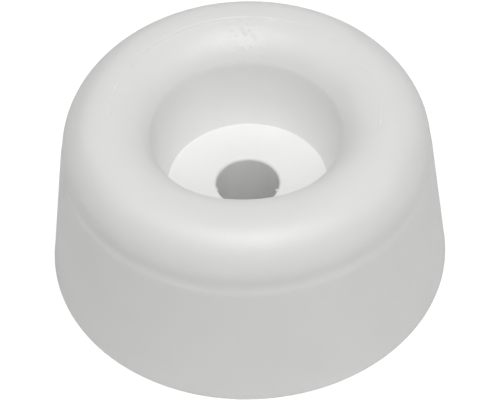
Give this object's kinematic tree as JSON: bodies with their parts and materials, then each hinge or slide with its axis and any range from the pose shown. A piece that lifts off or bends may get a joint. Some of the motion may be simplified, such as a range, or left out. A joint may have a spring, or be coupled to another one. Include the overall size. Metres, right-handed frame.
{
  "type": "toilet seat bumper",
  "caption": "Round screw-on white rubber buffer with a tapered side, a rolled rim and a deep recess for the screw head.",
  "frame": {"origin": "centre of the flat base, on the face that meets what the buffer is screwed to", "axes": "+Z along the axis, from the base towards the rim that takes the knock; X and Y are alike"},
  "size_m": [0.03, 0.03, 0.015],
  "materials": {
    "white_rubber": "satin"
  },
  "bodies": {
    "root": {"bumper": "white_rubber"}
  },
  "joints": []
}
